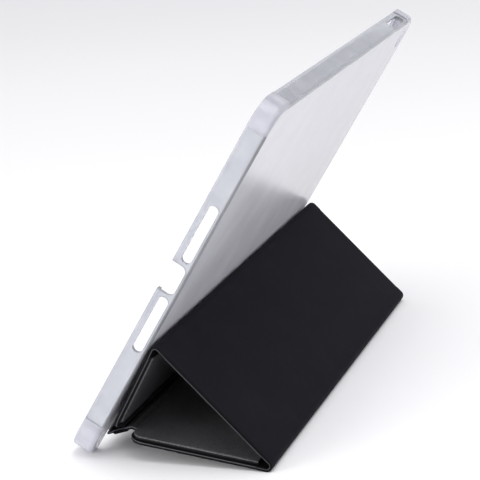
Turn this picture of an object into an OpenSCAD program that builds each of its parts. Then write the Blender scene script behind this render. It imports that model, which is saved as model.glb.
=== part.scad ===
// Folding stand case for a 240 x 169.5 mm tablet, standing in its landscape pose.
// A hard back plate with a soft clear bumper holds the tablet. A cover of four stiff
// panels (spine, base, rear, front) hangs from the back plate's lower edge and is
// folded into a prism behind it. X runs from the screen to the back, Y along the
// tablet's length, and the origin is under the middle of the whole case.

/* [Tablet] */
// Length of the tablet
tablet_length = 240; // [236:1:244]
// Height of the tablet across its short side
tablet_height = 169.5; // [168:0.5:172]
// Thickness of the tablet
tablet_t = 6.1; // [5.8:0.1:6.6]
// Corner radius of the space that holds the tablet
tablet_r = 7.5; // [6:0.5:8.5]

/* [Shell] */
// Gap between the tablet and the walls
tablet_gap = 0.25; // [0.1:0.05:0.4]
// Thickness of the hard back plate
plate_t = 1.6; // [1.4:0.1:1.8]
// Thickness of the rails
wall_t = 2.0; // [1.8:0.1:2.2]
// Thickness of the lip in front of the glass
lip_t = 1.4; // [1.2:0.1:1.6]
// Reach of the lip over the edge of the glass
lip_reach = 1.5; // [1:0.1:2]
// How far the corner guards stand out past the rails
guard_proud = 0.5; // [0.3:0.1:0.6]
// How far the hinge guards reach down past the rails, as the feet of the case
guard_drop = 5.8; // [5.6:0.1:6]
// Length of a guard along the short sides
guard_side = 12.5; // [12:0.5:15]
// Length of a top guard along the long side
guard_top = 17; // [14:1:20]
// Length of a hinge guard along the long side
guard_hinge = 13.5; // [12.5:0.5:13.5]
// Thickness of the hinge guards below the tablet
hinge_wall = 5.5; // [5.2:0.1:5.8]
// Outer corner radius of the guards
corner_r = 11; // [10:0.5:12]
// Rounding of the guards' back edge
guard_round = 2.4; // [2:0.1:2.5]
// Rounding of the front edge of the lip
front_round = 0.6; // [0.4:0.1:0.7]

/* [Cut-outs] */
// Width of the notch for the charging plug
port_w = 14.8; // [13:0.2:16]
// Radius of the notch's lower corners
port_r = 3; // [2:0.5:3.5]
// Length of each speaker slot
slot_len = 29; // [26:1:30]
// Width of the speaker slots and button windows
slot_w = 4.8; // [4.4:0.1:5]
// Distance from the port's centre to the near end of a speaker slot
slot_start = 9; // [8.5:0.5:12]
// Length of the volume window
volume_len = 24; // [20:1:28]
// Length of the power window
power_len = 12; // [10:1:14]
// Bore for the camera
camera_d = 11; // [9:0.5:12]
// Distance of the camera from the two outer faces of its corner
camera_inset = 12; // [11.5:0.5:14]

/* [Cover] */
// Length of the three large panels
cover_length = 243; // [238:1:244]
// Length of the spine, which fits between the hinge guards
spine_length = 216.5; // [200:0.5:216.5]
// Thickness of the outer leather
skin_t = 0.8; // [0.7:0.1:0.8]
// Thickness of the stiff boards
board_t = 1.3; // [1.2:0.1:1.3]
// Thickness of the soft lining
lining_t = 0.7; // [0.6:0.1:0.7]
// Width of the seam beyond the boards' edges
seam_w = 3.2; // [2.5:0.1:4]
// Radius of the cover's free corners
cover_r = 8; // [6:0.5:9]
// Distance across the spine between its folds
spine_w = 12.6; // [12.4:0.1:12.8]
// Distance across the base panel between its folds
base_w = 65.6; // [65:0.1:66]
// Distance across the rear panel between its folds
rear_w = 66.8; // [66.4:0.1:66.9]
// Distance across the front panel from its fold to the free edge
front_w = 43.5; // [42:0.5:44]

/* [Standing pose] */
// Lean of the tablet above the table
shell_lean = 58.3; // [58:0.1:58.6]
// Slope of the spine
spine_slope = 17.5; // [17:0.1:18]
// Direction of the rear panel, up from its lower fold
rear_slope = 134.4; // [134.2:0.1:135]
// Direction of the front panel, down from the top fold
front_slope = 240.9; // [240.5:0.1:241.3]

/* [Hidden] */
$fn = 64;

// Shell: u is measured up the back from the hinge edge, w forwards from the back's face
pocket_l = tablet_length + 2 * tablet_gap;
pocket_h = tablet_height + 2 * tablet_gap;
shell_w = hinge_wall + pocket_h + wall_t;
shell_l = pocket_l + 2 * wall_t;
glass_gap = 0.3;
shell_t = plate_t + tablet_t + glass_gap + lip_t;
wall_round = wall_t;
port_u = hinge_wall + pocket_h / 2;
slot_mid = plate_t + tablet_gap + slot_w / 2;
port_floor = plate_t + 0.1;
window_gap = 3;

// Cover: the leather flap on the back plate carries the first fold
flap_t = 0.65;
adhesive_t = 0.15;
flap_u0 = 5.6;
flap_u1 = 14.4;
hinge_u = 3.5;
hinge_sink = 0.5;
bead_r = 0.7;
web_t = 0.6;
web_sink = 0.15;
panel_t = skin_t + board_t + lining_t;
fold_t = skin_t + lining_t;
board_gap = 1;
spine_setback = 2.6;
base_setback = 2.2;
fold_setback = 3.5;
fold_clearance = 0.4;

// Panels, each [start, end, length, corner radius at start, at end, height of the leather]
spine_panel = [spine_setback, spine_w - spine_setback, spine_length, 0, 0, panel_t / 2];
base_panel = [base_setback, base_w - fold_setback, cover_length, cover_r, 0, panel_t / 2];
rear_panel = [panel_t + fold_clearance, rear_w - fold_setback, cover_length, 0, 0, 0];
front_panel = [panel_t + fold_clearance, front_w, cover_length, 0, cover_r, 0];

// Hidden pieces in the boards
keeper_t = 0.5;
keeper_x = [6, 14];
keeper_l = 190;
magnet_x = [31, 36];
magnet_l = 20;
magnet_pitch = 60;

// Standing pose: the hinge guards' back edge and the rear fold rest on the table
function dir(a) = [cos(a), 0, sin(a)];
front_x = (front_round - guard_drop) * cos(shell_lean)
    - (shell_t - front_round) * sin(shell_lean) - front_round;
back_x = (shell_w + guard_proud - guard_round) * cos(shell_lean)
    - guard_round * sin(shell_lean) + guard_round;
shell_pt = [
    -(front_x + back_x) / 2,
    0,
    guard_round - (guard_round - guard_drop) * sin(shell_lean) - guard_round * cos(shell_lean)
];
hinge_pt = shell_pt + hinge_u * dir(shell_lean) - hinge_sink * dir(shell_lean + 90);
spine_pt = hinge_pt + spine_w * dir(spine_slope);
base_slope = asin((panel_t - spine_pt[2]) / norm([base_w, panel_t / 2]))
    - atan(panel_t / 2 / base_w);
rear_pt = spine_pt + base_w * dir(base_slope) + panel_t / 2 * dir(base_slope + 90);
apex_pt = rear_pt + rear_w * dir(rear_slope);

module at(point, slope) { translate(point) rotate([0, -slope, 0]) children(); }
module in_shell() { at(shell_pt, shell_lean) children(); }
module in_spine() { at(hinge_pt, spine_slope) children(); }
module in_base() { at(spine_pt, base_slope) children(); }
module in_rear() { at(rear_pt, rear_slope) children(); }
module in_front() { at(apex_pt, front_slope) children(); }

// ---------- Shell ----------

// Wall section from the inside out, with a rounded back and front outer edge
module wall_section(depth, back_round) {
    square([depth - back_round, shell_t]);
    translate([0, back_round]) square([depth, shell_t - back_round - front_round]);
    translate([depth - back_round, back_round]) circle(back_round);
    translate([depth - back_round, shell_t / 2]) square([back_round - front_round, shell_t / 2]);
    translate([depth - front_round, shell_t - front_round]) circle(front_round);
}

// The same section for a rail: a thin wall with the lip at the front
module rail_section() {
    difference() {
        translate([-lip_reach, 0]) wall_section(wall_t + lip_reach, wall_round);
        translate([-lip_reach - 1, -1]) square([lip_reach + 1, shell_t - lip_t + 1]);
    }
}

// Quarter of a plane whose corner is rounded
module corner_area(r) {
    reach = 40;
    translate([r, 0]) square([reach, reach]);
    translate([0, r]) square([reach, reach]);
    translate([r, r]) circle(r);
}

// One corner guard with its outer corner at the origin, legs along +X and +Y
module guard(leg_x, leg_y, wall_x) {
    wall_y = wall_t + guard_proud;
    difference() {
        union() {
            translate([corner_r, corner_r]) rotate(180)
                rotate_extrude(angle = 90) wall_section(corner_r, guard_round);
            translate([corner_r, corner_r]) rotate([90, 0, 180])
                linear_extrude(leg_y - corner_r) wall_section(corner_r, guard_round);
            translate([leg_x, corner_r]) rotate([90, 0, -90])
                linear_extrude(leg_x - corner_r) wall_section(corner_r, guard_round);
        }
        translate([wall_x, wall_y, -1]) linear_extrude(shell_t - lip_t + 1)
            corner_area(tablet_r);
        translate([wall_x + lip_reach, wall_y + lip_reach, 0]) linear_extrude(shell_t + 1)
            corner_area(tablet_r - lip_reach);
    }
}

module hinge_guard() {
    translate([-guard_drop, -shell_l / 2 - guard_proud])
        guard(guard_side + guard_drop, guard_hinge, hinge_wall + guard_drop);
}

module top_guard() {
    translate([shell_w + guard_proud, -shell_l / 2 - guard_proud]) mirror([1, 0, 0])
        guard(guard_side, guard_top, wall_t + guard_proud);
}

// Cut across an end wall: the children lie in the plane of u and w
module through_end(side) {
    translate([port_u, side * shell_l / 2 + 5]) rotate([90, 0, 0]) linear_extrude(10) children();
}

module slot_area(length) {
    for (end = [-1, 1]) translate([end * (length - slot_w) / 2, slot_mid]) circle(slot_w / 2);
    translate([-(length - slot_w) / 2, slot_mid - slot_w / 2]) square([length - slot_w, slot_w]);
}

module speaker_slots() {
    for (end = [-1, 1]) translate([end * (slot_start + slot_len / 2), 0]) slot_area(slot_len);
}

module port_area() {
    translate([-port_w / 2, port_floor + port_r]) square([port_w, shell_t]);
    translate([-port_w / 2 + port_r, port_floor]) square([port_w - 2 * port_r, 2 * port_r]);
    for (end = [-1, 1])
        translate([end * (port_w / 2 - port_r), port_floor + port_r]) circle(port_r);
}

// Straight rail along a short side, between its two guards
module end_rail(side) {
    low = guard_side;
    high = shell_w + guard_proud - guard_side;
    mirror([0, side > 0 ? 1 : 0, 0])
        translate([high, -shell_l / 2 + wall_t]) rotate([90, 0, -90])
            linear_extrude(high - low) rail_section();
}

module back_plate() {
    color("#d6d5da") in_shell() linear_extrude(plate_t) difference() {
        translate([hinge_wall, -pocket_l / 2]) {
            translate([tablet_r, 0]) square([pocket_h - 2 * tablet_r, pocket_l]);
            translate([0, tablet_r]) square([pocket_h, pocket_l - 2 * tablet_r]);
            for (x = [tablet_r, pocket_h - tablet_r], y = [tablet_r, pocket_l - tablet_r])
                translate([x, y]) circle(tablet_r);
        }
        translate([shell_w + guard_proud - camera_inset, shell_l / 2 + guard_proud - camera_inset])
            circle(camera_d / 2);
    }
}

module top_rail() {
    half = shell_l / 2 + guard_proud - guard_top;
    color("#e8e9ee") in_shell() difference() {
        translate([shell_w - wall_t, half]) rotate([90, 0, 0])
            linear_extrude(2 * half) rail_section();
        translate([shell_w - 5, half - window_gap - volume_len / 2]) rotate([90, 0, 90])
            linear_extrude(10) slot_area(volume_len);
    }
}

module port_rail() {
    color("#e8e9ee") in_shell() difference() {
        end_rail(-1);
        through_end(-1) port_area();
        through_end(-1) speaker_slots();
    }
}

module far_rail() {
    power_u = shell_w + guard_proud - guard_side - window_gap - power_len / 2;
    color("#e8e9ee") in_shell() difference() {
        end_rail(1);
        through_end(1) speaker_slots();
        through_end(1) translate([power_u - port_u, 0]) slot_area(power_len);
    }
}

module port_hinge_guard() { color("#e4e4ea") in_shell() hinge_guard(); }
module far_hinge_guard() { color("#e4e4ea") in_shell() mirror([0, 1, 0]) hinge_guard(); }
module port_top_guard() { color("#e4e4ea") in_shell() top_guard(); }
module far_top_guard() { color("#e4e4ea") in_shell() mirror([0, 1, 0]) top_guard(); }

// ---------- Hinge flap ----------

module flap_layer(low, high) {
    translate([flap_u0, -spine_length / 2, low])
        cube([flap_u1 - flap_u0, spine_length, high - low]);
}

module flap_adhesive() { color("#c9c4b4") in_shell() flap_layer(-adhesive_t, 0); }
module hinge_flap() {
    color("#3a393d") in_shell() flap_layer(-adhesive_t - flap_t, -adhesive_t);
}

// Extrude a fold's section over the given length, centred on Y
module along_fold(length) {
    translate([0, length / 2]) rotate([90, 0, 0]) linear_extrude(length) children();
}

module hinge_fold() {
    color("#2b2a2e") in_shell() along_fold(spine_length) {
        translate([hinge_u, -web_t - web_sink])
            square([flap_u0 - hinge_u, web_t]);
        translate([hinge_u, -hinge_sink]) circle(bead_r);
    }
}

// ---------- Cover panels ----------

// Plan of a panel with rounded corners at either end
module plan(x0, x1, length, r0, r1) {
    translate([x0 + r0, -length / 2]) square([x1 - x0 - r0 - r1, length]);
    if (r0 > 0) translate([x0, -length / 2 + r0]) square([r0 + 1, length - 2 * r0]);
    if (r1 > 0) translate([x1 - r1 - 1, -length / 2 + r1]) square([r1 + 1, length - 2 * r1]);
    for (side = [-1, 1]) {
        if (r0 > 0) translate([x0 + r0, side * (length / 2 - r0)]) circle(r0);
        if (r1 > 0) translate([x1 - r1, side * (length / 2 - r1)]) circle(r1);
    }
}

// Space that the board takes up inside a panel
module board_space(panel) {
    free_end = panel[4] > 0 ? seam_w : board_gap;
    low = panel[5] - skin_t - board_t;
    r0 = max(0, panel[3] - seam_w);
    r1 = max(0, panel[4] - seam_w);
    translate([0, 0, low]) linear_extrude(board_t)
        plan(panel[0] + board_gap, panel[1] - free_end, panel[2] - 2 * seam_w, r0, r1);
}

// One layer of a panel between two depths below the leather's surface
module layer(panel, top, bottom) {
    difference() {
        translate([0, 0, panel[5] - bottom]) linear_extrude(bottom - top)
            plan(panel[0], panel[1], panel[2], panel[3], panel[4]);
        board_space(panel);
    }
}

module skin(panel) { layer(panel, 0, skin_t + board_t / 2); }
module lining(panel) { layer(panel, skin_t + board_t / 2, panel_t); }

// Sector of a circle from angle a0 to a1
module sector(r, a0, a1) {
    steps = 6;
    polygon(concat([[0, 0]], [
        for (i = [0:steps]) let (a = a0 + (a1 - a0) * i / steps) r * [cos(a), sin(a)]
    ]));
}

// Flexible strip round the outside of a large fold: it runs on from the panel's end at
// x = start to the fold line at x = fold, then bends through the given turn
module fold_strip(start, fold, top, turn) {
    along_fold(cover_length) {
        translate([start, top - panel_t]) square([fold - start, fold_t]);
        translate([fold, top]) intersection() {
            difference() {
                circle(panel_t);
                circle(panel_t - fold_t);
            }
            sector(2 * panel_t, -90, turn - 90);
        }
    }
}

module keeper_space() {
    translate([keeper_x[0], -keeper_l / 2, base_panel[5] - skin_t - keeper_t])
        cube([keeper_x[1] - keeper_x[0], keeper_l, keeper_t]);
}

module magnet_spaces() {
    for (i = [-1:1])
        translate([magnet_x[0], i * magnet_pitch - magnet_l / 2, -skin_t - board_t])
            cube([magnet_x[1] - magnet_x[0], magnet_l, board_t]);
}

module spine_board() { color("#8f8b83") in_spine() board_space(spine_panel); }
module spine_skin() { color("#3a393d") in_spine() skin(spine_panel); }
module spine_lining() { color("#1b1a1e") in_spine() lining(spine_panel); }
module spine_fold() {
    color("#2b2a2e") in_spine() along_fold(spine_length) {
        translate([spine_panel[1], -panel_t / 2]) square([spine_w - spine_panel[1], panel_t]);
        translate([spine_w, 0]) circle(panel_t / 2);
    }
}

module base_board() {
    color("#8f8b83") in_base() difference() {
        board_space(base_panel);
        keeper_space();
    }
}
module base_keeper() { color("#9a9ca0") in_base() keeper_space(); }
module base_skin() { color("#3a393d") in_base() skin(base_panel); }
module base_lining() { color("#1b1a1e") in_base() lining(base_panel); }
module rear_fold() {
    color("#1b1a1e") in_base()
        fold_strip(base_panel[1], base_w, panel_t / 2, rear_slope - base_slope);
}

module rear_board() { color("#8f8b83") in_rear() board_space(rear_panel); }
module rear_skin() { color("#3a393d") in_rear() skin(rear_panel); }
module rear_lining() { color("#1b1a1e") in_rear() lining(rear_panel); }
module apex_fold() {
    color("#1b1a1e") in_rear()
        fold_strip(rear_panel[1], rear_w, 0, front_slope - rear_slope);
}

module front_board() {
    color("#8f8b83") in_front() difference() {
        board_space(front_panel);
        magnet_spaces();
    }
}
module front_magnets() { color("#9a9ca0") in_front() magnet_spaces(); }
module front_skin() { color("#3a393d") in_front() skin(front_panel); }
module front_lining() { color("#1b1a1e") in_front() lining(front_panel); }

back_plate();
top_rail();
port_rail();
far_rail();
port_hinge_guard();
far_hinge_guard();
port_top_guard();
far_top_guard();
flap_adhesive();
hinge_flap();
hinge_fold();
spine_board();
spine_skin();
spine_lining();
spine_fold();
base_board();
base_keeper();
base_skin();
base_lining();
rear_fold();
rear_board();
rear_skin();
rear_lining();
apex_fold();
front_board();
front_magnets();
front_skin();
front_lining();
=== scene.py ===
"""Folding stand case for a tablet: clear bumper, frosted back and a four-panel cover.

X runs from the screen side to the back, Y along the tablet and Z up, in metres. Sizes
below are in millimetres, as the drawing has them, and mm() or at() turns them to metres.
"""

import math

import bmesh
import bpy
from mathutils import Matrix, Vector


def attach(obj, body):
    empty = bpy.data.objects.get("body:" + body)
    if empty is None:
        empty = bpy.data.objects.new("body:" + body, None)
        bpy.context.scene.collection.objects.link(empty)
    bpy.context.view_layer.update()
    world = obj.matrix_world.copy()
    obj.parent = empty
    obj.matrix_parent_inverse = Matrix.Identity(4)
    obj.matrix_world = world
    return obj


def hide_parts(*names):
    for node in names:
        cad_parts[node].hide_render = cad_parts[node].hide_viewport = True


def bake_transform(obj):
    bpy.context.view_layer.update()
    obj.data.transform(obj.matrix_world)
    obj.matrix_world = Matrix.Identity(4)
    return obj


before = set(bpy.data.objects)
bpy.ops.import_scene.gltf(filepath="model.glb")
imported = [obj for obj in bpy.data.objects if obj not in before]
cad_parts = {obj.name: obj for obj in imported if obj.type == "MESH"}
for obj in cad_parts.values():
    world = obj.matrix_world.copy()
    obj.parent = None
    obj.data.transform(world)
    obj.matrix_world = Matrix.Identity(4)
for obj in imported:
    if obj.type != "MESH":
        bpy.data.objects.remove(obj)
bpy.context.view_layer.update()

# ---------- Sizes, as the drawing has them ----------

SHELL_LEAN = 58.3
SPINE_SLOPE = 17.5
REAR_SLOPE = 134.4
FRONT_SLOPE = 240.9
SPINE_W, BASE_W, REAR_W, FRONT_W = 12.6, 65.6, 66.8, 43.5
PANEL_T, LEATHER_T, SUEDE_T = 2.8, 0.8, 0.7
SHELL_T, HINGE_U, HINGE_W = 9.4, 3.5, -0.5
COVER_L, SPINE_L = 243.0, 216.5
SHELL_W, GUARD_PROUD, GUARD_DROP = 177.5, 0.5, 5.8
BACK_ROUND, FRONT_ROUND = 2.4, 0.6
# Beside a large fold, one panel stops this far before the axis and the next starts
# this far after it
FOLD_STOP, FOLD_START = 3.5, PANEL_T + 0.4
# The same beside the thin folds at the two sides of the spine
SPINE_STOP, BASE_START = 2.6, 2.2


def mm(*values):
    """Millimetres to a point in metres."""
    return Vector([v / 1000 for v in values])


def along(angle):
    """Unit direction in the X-Z plane, in degrees up from +X."""
    return Vector((math.cos(math.radians(angle)), 0, math.sin(math.radians(angle))))


class Place:
    """A tilted work plane: x runs up the panel, y along the fold and z out of its leather."""

    def __init__(self, origin, slope):
        self.origin, self.slope = origin, slope
        self.x, self.z = along(slope), along(slope + 90)

    def at(self, x, y, z):
        return self.origin + self.x * (x / 1000) + self.z * (z / 1000) + Vector((0, y / 1000, 0))


def shell_origin():
    """The hinge edge of the back's outer face, from the case resting on its rounded edge."""
    lean = math.radians(SHELL_LEAN)
    front = (
        (FRONT_ROUND - GUARD_DROP) * math.cos(lean)
        - (SHELL_T - FRONT_ROUND) * math.sin(lean)
        - FRONT_ROUND
    )
    back = (
        (SHELL_W + GUARD_PROUD - BACK_ROUND) * math.cos(lean)
        - BACK_ROUND * math.sin(lean)
        + BACK_ROUND
    )
    height = (
        BACK_ROUND - (BACK_ROUND - GUARD_DROP) * math.sin(lean) - BACK_ROUND * math.cos(lean)
    )
    return mm(-(front + back) / 2, 0, height)


shell = Place(shell_origin(), SHELL_LEAN)
spine = Place(shell.at(HINGE_U, 0, HINGE_W), SPINE_SLOPE)
base_origin = spine.at(SPINE_W, 0, 0)
BASE_SLOPE = math.degrees(
    math.asin((PANEL_T - base_origin.z * 1000) / math.hypot(BASE_W, PANEL_T / 2))
    - math.atan(PANEL_T / 2 / BASE_W)
)
base = Place(base_origin, BASE_SLOPE)
rear = Place(base.at(BASE_W, 0, PANEL_T / 2), REAR_SLOPE)
front = Place(rear.at(REAR_W, 0, 0), FRONT_SLOPE)

# How far along the opened-out cover each panel starts, so that the grain runs through
RUN = {"shell": -2.1, "spine": 0, "base": SPINE_W, "rear": SPINE_W + BASE_W}
RUN["front"] = RUN["rear"] + REAR_W

# ---------- Materials ----------


def colour(code):
    """An sRGB hex colour as linear RGBA."""
    parts = [int(code[i : i + 2], 16) / 255 for i in (1, 3, 5)]
    return [p / 12.92 if p <= 0.04045 else ((p + 0.055) / 1.055) ** 2.4 for p in parts] + [1]


def add(tree, kind, inputs=None, **settings):
    """A node with its settings, its values and the sockets that feed it."""
    made = tree.nodes.new(kind)
    for name, value in settings.items():
        setattr(made, name, value)
    for name, value in (inputs or {}).items():
        if isinstance(value, bpy.types.NodeSocket):
            tree.links.new(value, made.inputs[name])
        else:
            made.inputs[name].default_value = value
    return made


def shades(tree, amount, *stops):
    """A colour ramp through (position, hex colour) stops."""
    made = add(tree, "ShaderNodeValToRGB", {"Fac": amount})
    elements = made.color_ramp.elements
    while len(elements) < len(stops):
        elements.new(0.5)
    for element, (position, code) in zip(elements, stops):
        element.position, element.color = position, colour(code)
    return made.outputs["Color"]


def spread(tree, amount, low, high):
    """A 0 to 1 amount stretched between two values."""
    made = add(
        tree, "ShaderNodeMapRange", {"Value": amount, "To Min": low, "To Max": high}
    )
    return made.outputs["Result"]


def finish_material(name, build, **shader):
    """A material whose build(tree) returns the sockets that vary over the surface."""
    made = bpy.data.materials.new(name)
    made.use_nodes = True
    tree = made.node_tree
    principled = tree.nodes["Principled BSDF"]
    for socket, value in {**shader, **build(tree)}.items():
        if isinstance(value, bpy.types.NodeSocket):
            tree.links.new(value, principled.inputs[socket])
        else:
            principled.inputs[socket].default_value = value
    return made


def cover_grain(tree):
    """Coordinates on the opened-out cover, in metres, from the piece's own UV map."""
    return add(tree, "ShaderNodeTexCoord").outputs["UV"]


def solid_place(tree):
    return add(tree, "ShaderNodeTexCoord").outputs["Object"]


def noise(tree, where, scale, detail=3.0, roughness=0.5):
    made = add(
        tree,
        "ShaderNodeTexNoise",
        {"Vector": where, "Scale": scale, "Detail": detail, "Roughness": roughness},
    )
    return made.outputs["Fac"]


def bump(tree, height, strength, distance, under=None):
    inputs = {"Height": height, "Strength": strength, "Distance": distance}
    if under is not None:
        inputs["Normal"] = under
    return add(tree, "ShaderNodeBump", inputs).outputs["Normal"]


def leather_build(lit_tops, shaded_valleys, smooth):
    """Pebbled grain about 1.1 mm across, pressed flatter where smooth is above 0."""

    def build(tree):
        uv = cover_grain(tree)
        warp = noise(tree, uv, 500, 2)
        wander = add(tree, "ShaderNodeTexNoise", {"Vector": uv, "Scale": 300.0})
        moved = add(
            tree,
            "ShaderNodeVectorMath",
            {0: wander.outputs["Color"], 1: (0.0007,) * 3, 2: uv},
            operation="MULTIPLY_ADD",
        )
        pebbles = add(
            tree,
            "ShaderNodeTexVoronoi",
            {"Vector": moved.outputs["Vector"], "Scale": 900.0, "Randomness": 0.85},
            feature="DISTANCE_TO_EDGE",
        ).outputs["Distance"]
        pores = noise(tree, uv, 3800, 3, 0.6)
        drift = noise(tree, uv, 26, 2)
        raised = add(
            tree,
            "ShaderNodeMapRange",
            {"Value": pebbles, "From Max": 0.28},
            interpolation_type="SMOOTHSTEP",
        ).outputs["Result"]
        # Painted light: colour runs from painted shade in the hollows to painted highlight on
        # the raised pebbles, with random drift
        tone = add(
            tree, "ShaderNodeMath", {0: raised, 1: 0.45, 2: drift}, operation="MULTIPLY_ADD"
        ).outputs["Value"]
        grain = bump(tree, raised, 0.75 - smooth, 0.00009)
        grain = bump(tree, pores, 0.35, 0.00004, grain)
        grain = bump(tree, drift, 0.5, 0.0012 * (1 - smooth), grain)
        return {
            "Base Color": shades(tree, tone, (0.35, shaded_valleys), (0.95, lit_tops)),
            "Roughness": spread(tree, warp, 0.3 + smooth * 0.3, 0.46 + smooth * 0.2),
            "Normal": grain,
        }

    return build


# Grained PU leather on the inside of the folded stand: charcoal with a broad soft sheen,
# the raised pebbles painted lighter as highlight and the hollows painted darker as shade
leather = finish_material(
    "pu_leather_charcoal_pebbled",
    leather_build("#5c5c5f", "#38383b", 0.0),
    **{"Specular IOR Level": 0.75},
)
# The border outside the boards, pressed flat under heat and smoother, also used in the large
# folds' creases: coloured near black as painted shade on the rounded rim and in the creases
shaded_rim_and_crease = finish_material(
    "pu_leather_pressed_painted_shade",
    leather_build("#111113", "#0a0a0c", 0.35),
    **{"Specular IOR Level": 0.15},
)


def suede_build(tree):
    """Short brushed nap: soft clouds 10 to 40 mm across where it lies differently."""
    uv = cover_grain(tree)
    clouds = noise(tree, uv, 38, 4, 0.55)
    strokes = add(
        tree,
        "ShaderNodeMapping",
        {"Vector": uv, "Scale": (1.0, 0.35, 1.0)},
    ).outputs["Vector"]
    brushed = noise(tree, strokes, 420, 4, 0.6)
    fibres = noise(tree, uv, 5200, 2, 0.7)
    tone = add(
        tree, "ShaderNodeMath", {0: brushed, 1: 0.35, 2: clouds}, operation="MULTIPLY_ADD"
    ).outputs["Value"]
    nap = bump(tree, fibres, 0.5, 0.00006)
    nap = bump(tree, brushed, 0.25, 0.00012, nap)
    return {
        "Base Color": shades(tree, tone, (0.45, "#0a090c"), (0.68, "#0e0d11"), (0.9, "#141318")),
        "Roughness": spread(tree, clouds, 0.8, 0.98),
        "Normal": nap,
    }


# Microfibre suede on the outside of the folded stand: near black with a violet cast, no
# gloss, and a faint bloom at a low angle
suede = finish_material(
    "microfibre_suede_black",
    suede_build,
    **{
        "Specular IOR Level": 0.1,
        "Sheen Weight": 0.07,
        "Sheen Roughness": 0.55,
        "Sheen Tint": colour("#8d87a0"),
    },
)


def cut_edge_build(tree):
    uv = cover_grain(tree)
    fuzz = noise(tree, uv, 2600, 3, 0.7)
    return {
        "Base Color": shades(tree, fuzz, (0.3, "#3c3b3f"), (0.7, "#58575b")),
        "Roughness": spread(tree, fuzz, 0.5, 0.75),
        "Normal": bump(tree, fuzz, 0.4, 0.00005),
    }


# Cut edge of the leather's pale backing: one thin grey line round the inside of each panel, its
# lightness partly a painted highlight where the edge catches light
cut_edge_highlight = finish_material("pu_leather_cut_edge_painted_highlight", cut_edge_build)


def frosted_build(tree):
    """Spark-eroded mould texture of about 0.15 mm, with faint handling marks."""
    place = solid_place(tree)
    etch = noise(tree, place, 6500, 2, 0.6)
    marks = noise(tree, place, 30, 3)
    return {
        "Base Color": shades(tree, marks, (0.3, "#dcdbe2"), (0.7, "#e4e3ea")),
        "Roughness": spread(tree, marks, 0.2, 0.3),
        "Normal": bump(tree, etch, 0.12, 0.00003),
    }


# Matt translucent polycarbonate: milky lavender grey, with a blurred mirror of the cover
# low down where it is seen at a low angle
frosted = finish_material(
    "polycarbonate_frosted",
    frosted_build,
    **{"Transmission Weight": 0.2, "IOR": 1.58},
)


def moulded_build(low, high, rough_low, rough_high):
    """Slow flow waves left by moulding, and a fine satin on top."""

    def build(tree):
        place = solid_place(tree)
        flow = noise(tree, place, 90, 2)
        satin = noise(tree, place, 2800, 2)
        surface = bump(tree, flow, 0.2, 0.0004)
        return {
            "Base Color": shades(tree, flow, (0.3, low), (0.7, high)),
            "Roughness": spread(tree, satin, rough_low, rough_high),
            "Normal": surface,
        }

    return build


# Clear soft TPU of the rails: nearly colourless, bright where its edges gather light
clear_tpu = finish_material(
    "tpu_clear_moulded",
    moulded_build("#c9cbd2", "#d6d8de", 0.06, 0.14),
    **{"Transmission Weight": 0.62, "IOR": 1.47},
)
# The guards are several times thicker, so the same TPU looks milky
milky_tpu = finish_material(
    "tpu_milky_moulded",
    moulded_build("#cfcfd9", "#dcdce4", 0.12, 0.22),
    **{"Transmission Weight": 0.45, "IOR": 1.47},
)


def fibre_board_build(tree):
    place = solid_place(tree)
    pulp = noise(tree, place, 900, 4, 0.7)
    return {
        "Base Color": shades(tree, pulp, (0.3, "#7d7870"), (0.7, "#9c978c")),
        "Roughness": spread(tree, pulp, 0.8, 0.95),
        "Normal": bump(tree, pulp, 0.5, 0.0001),
    }


# Grey board inside the panels: pressed paper pulp, seen only when the cover is cut open
grey_board = finish_material("grey_board_pressed", fibre_board_build)


def plated_build(tree):
    place = solid_place(tree)
    rolled = add(tree, "ShaderNodeMapping", {"Vector": place, "Scale": (8.0, 0.4, 8.0)})
    lines = noise(tree, rolled.outputs["Vector"], 700, 3)
    return {
        "Base Color": shades(tree, lines, (0.3, "#8b8d91"), (0.7, "#a6a8ac")),
        "Roughness": spread(tree, lines, 0.28, 0.45),
        "Normal": bump(tree, lines, 0.15, 0.00004),
    }


# Zinc-plated strip steel and magnets inside the boards: rolling lines along their length
plated_steel = finish_material("steel_zinc_plated", plated_build, **{"Metallic": 1.0})


def tape_build(tree):
    place = solid_place(tree)
    wetting = noise(tree, place, 350, 3)
    return {
        "Base Color": shades(tree, wetting, (0.3, "#bdb8a6"), (0.7, "#d2cdbd")),
        "Roughness": spread(tree, wetting, 0.35, 0.6),
        "Normal": bump(tree, wetting, 0.3, 0.00008),
    }


# Double-sided tape under the hinge flap: a cream line at its edge
tape = finish_material("tape_acrylic_cream", tape_build)


def floor_build(tree):
    place = solid_place(tree)
    patches = noise(tree, place, 1.5, 2)
    return {
        "Base Color": shades(tree, patches, (0.3, "#f0f0f0"), (0.7, "#f3f3f3")),
        "Roughness": spread(tree, patches, 0.85, 0.95),
    }


# Seamless painted studio floor
studio_floor = finish_material("studio_floor_white", floor_build)

# ---------- Making pieces ----------


def link(mesh, name, materials):
    made = bpy.data.objects.new(name, mesh)
    bpy.context.scene.collection.objects.link(made)
    for material in materials:
        mesh.materials.append(material)
    return made


def close_mesh(bm, name, materials, sharp=50):
    """Merge doubles, turn the faces outwards and shade smooth up to a sharp angle."""
    bmesh.ops.remove_doubles(bm, verts=bm.verts, dist=1e-7)
    bmesh.ops.recalc_face_normals(bm, faces=bm.faces)
    mesh = bpy.data.meshes.new(name)
    bm.to_mesh(mesh)
    bm.free()
    mesh.shade_smooth()
    mesh.set_sharp_from_angle(angle=math.radians(sharp))
    return link(mesh, name, materials)


CORNER_STEPS = 10


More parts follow.
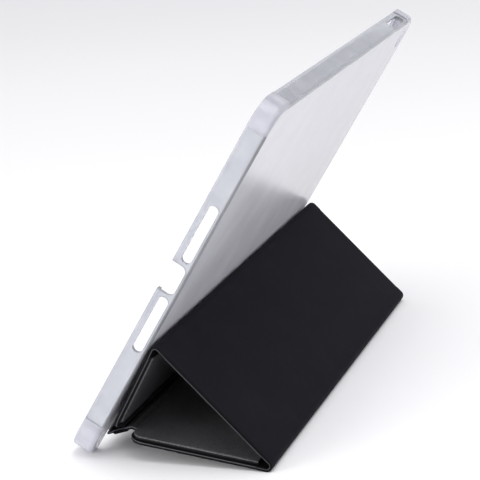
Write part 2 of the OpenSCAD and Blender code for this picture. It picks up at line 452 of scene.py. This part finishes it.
def outline(panel, inset, near=1, far=1):
    """The panel's rounded outline, set in by inset. near and far scale the inset at the
    start and end sides: less than 1 beside a fold, and 0 where the layer runs on."""
    x0, x1, length, r0, r1 = panel
    x0 += inset * near
    x1 -= inset * far
    half = length / 2 - inset
    radii = [r0, r1, r1, r0]
    corners = [(x0, -half), (x1, -half), (x1, half), (x0, half)]
    points = []
    for k, ((cx, cy), r) in enumerate(zip(corners, radii)):
        r = max(r - inset, 0.12)
        sx, sy = (1 if cx == x0 else -1), (1 if cy < 0 else -1)
        for i in range(CORNER_STEPS + 1):
            a = math.radians(180 + 90 * k + 90 * i / CORNER_STEPS)
            points.append((cx + sx * r + r * math.cos(a), cy + sy * r + r * math.sin(a)))
    return points


def panel_layer(name, place, run, panel, profile, materials, sides=(1, 1)):
    """A closed layer of a panel. The profile is a list of (inset, height, material) rings
    from the middle of one face, round the edge, to the middle of the other."""
    bm = bmesh.new()
    uv = bm.loops.layers.uv.new("cover")
    flat = {}
    rings = []
    for inset, height, _ in profile:
        ring = []
        for x, y in outline(panel, inset, *sides):
            v = bm.verts.new(place.at(x, y, height))
            flat[v] = ((run + x) / 1000, y / 1000)
            ring.append(v)
        rings.append(ring)
    faces = []
    for k, (a, b) in enumerate(zip(rings, rings[1:])):
        for i in range(len(a)):
            j = (i + 1) % len(a)
            faces.append((bm.faces.new((a[i], a[j], b[j], b[i])), profile[k + 1][2]))
    faces.append((bm.faces.new(list(reversed(rings[0]))), profile[0][2]))
    faces.append((bm.faces.new(rings[-1]), profile[-1][2]))
    for face, material in faces:
        face.material_index = material
        for loop in face.loops:
            loop[uv].uv = flat[loop.vert]
    return close_mesh(bm, name, materials)


RIM_T = 1.6  # the leather and the suede bonded together outside the boards


def leather_profile(top, rim, drop):
    """Padded over the board, then down to a pressed rim coloured near black as painted shade,
    with a pale cut edge partly lightened as painted highlight.
    """
    under, low = top - LEATHER_T, top - drop - 0.66
    return [
        (rim + 1.5, top, 0),
        (rim + 0.8, top - 0.03, 0),
        (rim + 0.35, top - 0.1 * drop - 0.05, 0),
        (rim + 0.1, top - 0.45 * drop, 0),
        (rim - 0.1, top - 0.85 * drop, 1),
        (rim - 0.35, top - drop - 0.05, 1),
        (rim * 0.65, top - drop, 1),
        (min(0.9, rim * 0.5), top - drop, 1),
        (0.3, top - drop - 0.03, 1),
        (0.08, top - drop - 0.12, 1),
        (0.0, top - drop - 0.24, 2),
        (0.0, top - drop - 0.4, 2),
        (0.0, low, 1),
        (rim - 0.3, low, 1),
        (rim + 0.1, under - 0.15, 1),
        (rim + 0.3, under, 1),
        (rim + 1.5, under, 1),
    ]


def suede_profile(top, rim, drop):
    """Flat over the board, and round at the edge, where it meets the leather."""
    bottom = top - PANEL_T
    over, high = bottom + SUEDE_T, top - drop - 0.7
    return [
        (rim + 1.5, bottom, 0),
        (rim + 0.6, bottom + 0.01, 0),
        (rim, bottom + 0.04, 0),
        (min(0.9, rim * 0.7), bottom + 0.05, 0),
        (0.35, bottom + 0.12, 0),
        (0.1, bottom + 0.28, 0),
        (0.0, bottom + 0.5, 0),
        (0.0, high, 0),
        (rim - 0.3, high, 0),
        (rim + 0.1, over + 0.01, 0),
        (rim + 1.5, over, 0),
    ]


# Share of the rim's width at a fold's side, where the board comes 1 mm from the panel's
# end instead of 3.2 mm
FOLD_SHARE = 0.3


def panel_pieces(
    body, place, panel, top, leather_sides, suede_sides, rim=2.7, drop=PANEL_T - RIM_T
):
    """The leather and the suede layer of one panel. The sides are shares of the rim's
    width at the start and the end."""
    skin = panel_layer(
        body + "_leather", place, RUN[body], panel, leather_profile(top, rim, drop),
        [leather, shaded_rim_and_crease, cut_edge_highlight], leather_sides,
    )
    lining = panel_layer(
        body + "_suede", place, RUN[body], panel, suede_profile(top, rim, drop),
        [suede], suede_sides,
    )
    for piece, slot, node in ((skin, "leather", "_skin"), (lining, "lining", "_lining")):
        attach(piece, body)
        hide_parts(body + node)


def fold_layer(name, outer, inner, run, half, materials):
    """A closed strip between two lines of equal count, each a list of points in the
    X-Z plane in metres, run along Y to half on both sides with softened ends."""
    bm = bmesh.new()
    uv = bm.loops.layers.uv.new("cover")
    lengths = [0]
    for a, b in zip(outer, outer[1:]):
        lengths.append(lengths[-1] + (b - a).length)
    scale = (run[1] - run[0]) / 1000 / lengths[-1]
    stations = [-half, -half + 0.12, -half + 0.4]
    stations += [-half + 0.4 + (2 * half - 0.8) * k / 24 for k in range(1, 24)]
    stations += [half - 0.4, half - 0.12, half]
    rows, flat = [], {}
    for y in stations:
        ends = half - abs(y)
        pull = 0.35 if ends < 0.05 else 0.1 if ends < 0.2 else 0
        row = []
        for k, (a, b) in enumerate(zip(outer, inner)):
            pair = []
            cuts = [pull * 0.5, 1 - pull * 0.5]
            if y in (stations[0], stations[-1]):
                cuts += [0.4, 0.6]
            for cut in cuts:
                v = bm.verts.new(a.lerp(b, cut) + Vector((0, y / 1000, 0)))
                flat[v] = (run[0] / 1000 + lengths[k] * scale, y / 1000)
                pair.append(v)
            row.append(pair)
        rows.append(row)
    quads = []
    for r0, r1 in zip(rows, rows[1:]):
        for p0, p1, q0, q1 in zip(r0, r0[1:], r1, r1[1:]):
            quads.append((p0[0], p1[0], q1[0], q0[0]))
            quads.append((p0[1], p1[1], q1[1], q0[1]))
        for p, q in ((r0[0], r1[0]), (r0[-1], r1[-1])):
            quads.append((p[0], *p[2:], p[1], q[1], *reversed(q[2:]), q[0]))
    quads = [(quad, 0) for quad in quads]
    for row in (rows[0], rows[-1]):
        for p, q in zip(row, row[1:]):
            quads += [
                ((p[0], q[0], q[2], p[2]), 0),
                ((p[2], q[2], q[3], p[3]), 1),
                ((p[3], q[3], q[1], p[1]), 0),
            ]
    for quad, material in quads:
        face = bm.faces.new(quad)
        face.material_index = material if len(materials) > 1 else 0
        for loop in face.loops:
            loop[uv].uv = flat[loop.vert]
    return close_mesh(bm, name, materials, 60)


def arc(place, centre, radius, first, last, steps=14):
    """Points round a fold's axis, at angles from the place's own x."""
    points = []
    for k in range(steps + 1):
        a = math.radians(first + (last - first) * k / steps)
        points.append(
            place.at(centre[0] + radius * math.cos(a), 0, centre[1] + radius * math.sin(a))
        )
    return points


# ---------- Cover ----------

EDGE_R = 0.8
CORNER_R = 8
# Start, end, length along Y, and corner radius at the start and at the end
spine_panel = (SPINE_STOP, SPINE_W - SPINE_STOP, SPINE_L, EDGE_R, EDGE_R)
base_panel = (BASE_START, BASE_W - FOLD_STOP, COVER_L, CORNER_R, EDGE_R)
rear_panel = (FOLD_START, REAR_W - FOLD_STOP, COVER_L, EDGE_R, EDGE_R)
front_panel = (FOLD_START, FRONT_W, COVER_L, EDGE_R, CORNER_R)

panel_pieces("spine", spine, spine_panel, 1.4, (1, 1), (1, 1), 1.1, 0.5)
panel_pieces("base", base, base_panel, 1.4, (FOLD_SHARE, FOLD_SHARE), (FOLD_SHARE, 0))
panel_pieces("rear", rear, rear_panel, 0, (FOLD_SHARE, FOLD_SHARE), (0, 0))
panel_pieces("front", front, front_panel, 0, (FOLD_SHARE, 1), (0, 1))


def large_fold(name, low, low_end, high, high_start, top, turn, node, run):
    """Suede round the outside of a large fold and leather in its crease.

    low and high are the places of the two panels, and the axis is at (low_end +
    FOLD_STOP, top) in low, which is high's origin."""
    axis = (low_end + FOLD_STOP, top)
    bottom = top - PANEL_T
    middle = PANEL_T - SUEDE_T
    groove = 1.3
    half = COVER_L / 2
    outer = [low.at(low_end - 1.2, 0, bottom + 0.25), low.at(low_end, 0, bottom)]
    outer += arc(low, axis, PANEL_T, -90, turn - 90)
    outer += [high.at(high_start, 0, -PANEL_T), high.at(high_start + 1.2, 0, 0.25 - PANEL_T)]
    inner = [low.at(low_end - 1.2, 0, bottom + 0.6), low.at(low_end, 0, bottom + SUEDE_T)]
    inner += arc(low, axis, middle, -90, turn - 90)
    inner += [high.at(high_start, 0, -middle), high.at(high_start + 1.2, 0, -middle)]
    lining = fold_layer(name + "_suede", outer, inner, run, half, [suede])
    crease = [low.at(low_end - 0.9, 0, top - 1.3), low.at(low_end, 0, top - 1.22)]
    crease += [low.at(low_end + 1.4, 0, top - 1.24)]
    crease += arc(low, axis, groove, -90, turn - 90)
    crease += [high.at(high_start - 1.4, 0, -1.24), high.at(high_start, 0, -1.22)]
    crease += [high.at(high_start + 0.9, 0, -1.3)]
    back = [low.at(low_end - 0.9, 0, top - 1.9), low.at(low_end, 0, top - 2.05)]
    back += [low.at(low_end + 1.4, 0, top - 2.07)]
    back += arc(low, axis, middle, -90, turn - 90)
    back += [high.at(high_start - 1.4, 0, -2.07), high.at(high_start, 0, -2.05)]
    back += [high.at(high_start + 0.9, 0, -1.9)]
    # The crease leather is coloured near black: painted shade in the fold's crease
    skin = fold_layer(name + "_leather", crease, back, run, half, [shaded_rim_and_crease, cut_edge_highlight])
    low.at(low_end, 0, bottom)
    high.at(high_start, 0, -PANEL_T)
    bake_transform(lining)
    low.at(axis[0] - 3.35, 0, top - 1.2)
    high.at(3.35, 0, -1.2)
    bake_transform(skin)
    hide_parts(node)
    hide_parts(node)


large_fold(
    "rear_fold", base, BASE_W - FOLD_STOP, rear, FOLD_START, 1.4, REAR_SLOPE - BASE_SLOPE,
    "rear_fold", (RUN["rear"] - FOLD_STOP, RUN["rear"] + FOLD_START),
)
large_fold(
    "apex_fold", rear, REAR_W - FOLD_STOP, front, FOLD_START, 0, FRONT_SLOPE - REAR_SLOPE,
    "apex_fold", (RUN["front"] - FOLD_STOP, RUN["front"] + FOLD_START),
)


def bent_path(corner, leg_a, reach_a, leg_b, reach_b, tuck, steps=8, ease=0.45):
    """A line down one leg to near the corner, round it and out along the other leg."""
    a, b = along(leg_a), along(leg_b)
    points = [corner + a * ((reach_a + tuck) / 1000), corner + a * (reach_a / 1000)]
    near_a, near_b = corner + a * (ease / 1000), corner + b * (ease / 1000)
    for k in range(steps + 1):
        t = k / steps
        points.append(
            near_a * (1 - t) ** 2 + corner * 2 * t * (1 - t) + near_b * t**2
        )
    points += [corner + b * (reach_b / 1000), corner + b * ((reach_b + tuck) / 1000)]
    return points


def offset_path(points, distances, side):
    """The line moved sideways in the X-Z plane by a distance for each point."""
    moved = []
    for k, p in enumerate(points):
        a, b = points[max(k - 1, 0)], points[min(k + 1, len(points) - 1)]
        d = (b - a).normalized()
        moved.append(p + Vector((-d.z, 0, d.x)) * (side * distances[k] / 1000))
    return moved


def thin_fold(
    name, corner, leg_a, reach_a, leg_b, reach_b, thick, shift, node, run, blend_at
):
    """Leather and suede bonded together across a thin fold. The leather is to the left
    of the way from body a to body b. thick is the whole thickness at the two ends."""
    path = bent_path(corner, leg_a, reach_a, leg_b, reach_b, 0.9)
    last = len(path) - 1
    share = [min(1, max(0, (k - 1) / (last - 2))) for k in range(last + 1)]
    depth = [thick[0] + (thick[1] - thick[0]) * s for s in share]
    sink = [shift * s for s in share]
    up = offset_path(path, [d / 2 + s for d, s in zip(depth, sink)], 1)
    down = offset_path(path, [s - d / 2 for d, s in zip(depth, sink)], 1)
    path = offset_path(path, sink, 1)
    half = SPINE_L / 2
    skin = fold_layer(name + "_leather", up, path, run, half, [leather, cut_edge_highlight])
    lining = fold_layer(name + "_suede", down, path, run, half, [suede])
    for piece, slot in ((skin, "leather"), (lining, "lining")):
        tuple(blend_at[0])
        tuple(blend_at[1])
        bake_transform(piece)
        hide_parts(node)


thin_fold(
    "hinge_fold", spine.origin, SHELL_LEAN, 2.2, SPINE_SLOPE, 2.7, (0.6, 1.0), 0,
    "hinge_fold", (-2.2, 2.6),
    (spine.origin + along(SHELL_LEAN) * 0.0021, spine.origin + along(SPINE_SLOPE) * 0.0021),
)
thin_fold(
    "spine_fold", base.origin, SPINE_SLOPE + 180, 2.7, BASE_SLOPE, 2.3, (1.5, 1.4), -0.5,
    "spine_fold", (SPINE_W - 2.6, SPINE_W + 2.2),
    (spine.at(SPINE_W - 2.6, 0, 0), base.at(2.2, 0, 0)),
)

# The flap is a plain leather strip with a rounded edge, glued to the back plate
flap = panel_layer(
    "hinge_flap_leather", shell, -16.5, (5.6, 14.4, SPINE_L, 0.3, 1.2),
    [
        (1.2, -0.8, 0), (0.5, -0.79, 0), (0.18, -0.72, 0), (0.04, -0.6, 0), (0, -0.45, 1),
        (0, -0.3, 1), (0, -0.15, 0), (1.2, -0.15, 0),
    ],
    [leather, cut_edge_highlight],
)
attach(flap, "shell")
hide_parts("hinge_flap")

# ---------- Shell ----------


def moulded_copy(node, name, material, rounding=0.18):
    """A smooth copy of a drawn part, with its sharp moulded edges softened."""
    bm = bmesh.new()
    bm.from_mesh(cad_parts[node].data)
    bmesh.ops.remove_doubles(bm, verts=bm.verts, dist=2e-6)
    bmesh.ops.dissolve_limit(bm, angle_limit=math.radians(0.6), verts=bm.verts, edges=bm.edges)
    mesh = bpy.data.meshes.new(name)
    bm.to_mesh(mesh)
    bm.free()
    made = link(mesh, name, [material])
    for polygon in mesh.polygons:
        polygon.material_index = 0
    mesh.shade_smooth()
    mesh.set_sharp_from_angle(angle=math.radians(32))
    soft = made.modifiers.new("soft_edges", "BEVEL")
    soft.width, soft.segments = rounding / 1000, 2
    soft.limit_method, soft.angle_limit = "ANGLE", math.radians(32)
    soft.harden_normals = False
    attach(made, "shell")
    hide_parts(node)
    return made


moulded_copy("back_plate", "frosted_back", frosted, 0.15)
for node in ("top_rail", "port_rail", "far_rail"):
    moulded_copy(node, node + "_clear", clear_tpu)
for node in ("port_hinge_guard", "far_hinge_guard", "port_top_guard", "far_top_guard"):
    moulded_copy(node, node + "_milky", milky_tpu)

# Parts that keep their drawn shape and get their real finish
for node, material in (
    ("flap_adhesive", tape),
    ("spine_board", grey_board),
    ("base_board", grey_board),
    ("rear_board", grey_board),
    ("front_board", grey_board),
    ("base_keeper", plated_steel),
    ("front_magnets", plated_steel),
):
    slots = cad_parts[node].material_slots
    for slot in slots:
        slot.material = material

# ---------- Floor, light and camera ----------

ground = bmesh.new()
bmesh.ops.create_grid(ground, x_segments=8, y_segments=8, size=6)
floor_mesh = bpy.data.meshes.new("floor")
ground.to_mesh(floor_mesh)
ground.free()
floor = link(floor_mesh, "floor", [studio_floor])

world = bpy.data.worlds.new("studio")
bpy.context.scene.world = world
world.use_nodes = True
world.node_tree.nodes["Background"].inputs["Color"].default_value = colour("#fbfbff")
world.node_tree.nodes["Background"].inputs["Strength"].default_value = 0.8


def softbox(name, place, target, size, power):
    light = bpy.data.lights.new(name, "AREA")
    light.shape, light.size, light.energy = "SQUARE", size, power
    made = bpy.data.objects.new(name, light)
    made.location = place
    made.rotation_euler = (Vector(target) - Vector(place)).to_track_quat("-Z", "Y").to_euler()
    bpy.context.scene.collection.objects.link(made)


softbox("overhead", (0.3, -0.1, 1.5), (0, 0, 0.05), 1.2, 11)
softbox("camera_side", (0.9, -1.0, 0.7), (0, 0, 0.05), 0.8, 1.5)
softbox("open_end", (-0.75, -0.95, 0.3), (0.02, -0.1, 0.02), 0.5, 6)

lens = bpy.data.cameras.new("camera")
lens.lens, lens.sensor_width = 136.05, 36
lens.clip_start, lens.clip_end = 0.01, 50
camera = bpy.data.objects.new("camera", lens)
camera.location = (0.2636, -0.7967, 0.2995)
camera.rotation_euler = [math.radians(a) for a in (74.49, 3.04, 18.05)]
bpy.context.scene.collection.objects.link(camera)
bpy.context.scene.camera = camera
bpy.context.scene.view_settings.view_transform = "Standard"
